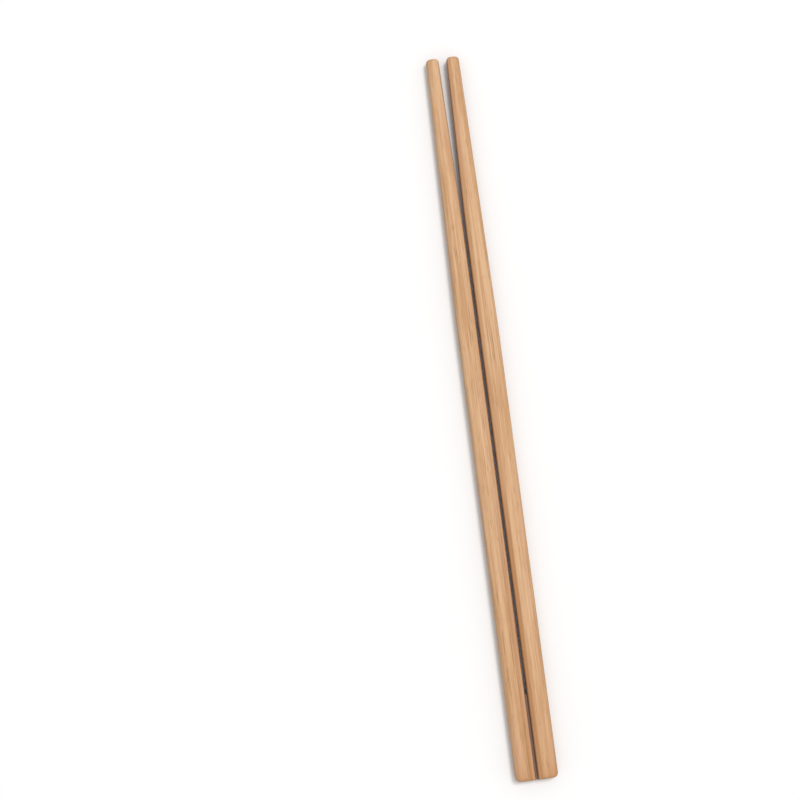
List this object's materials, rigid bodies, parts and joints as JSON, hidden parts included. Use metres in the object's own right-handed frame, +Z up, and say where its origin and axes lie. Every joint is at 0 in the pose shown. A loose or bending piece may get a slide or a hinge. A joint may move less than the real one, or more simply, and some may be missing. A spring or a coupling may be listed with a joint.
{
  "type": "twin chopsticks",
  "caption": "Disposable bamboo chopsticks, slit from one rounded blank and joined by a thin web at the head, to be snapped apart for eating.",
  "frame": {"origin": "on the resting plane, under the middle of the pair's length and width", "axes": "+Y along the sticks towards the eating tips, X across the pair, +Z up from the surface it lies on"},
  "size_m": [0.012, 0.203, 0.005],
  "materials": {
    "bamboo": "sanded bare bamboo, steamed to a light caramel colour"
  },
  "bodies": {
    "root": {"chopsticks": "bamboo"}
  },
  "joints": []
}
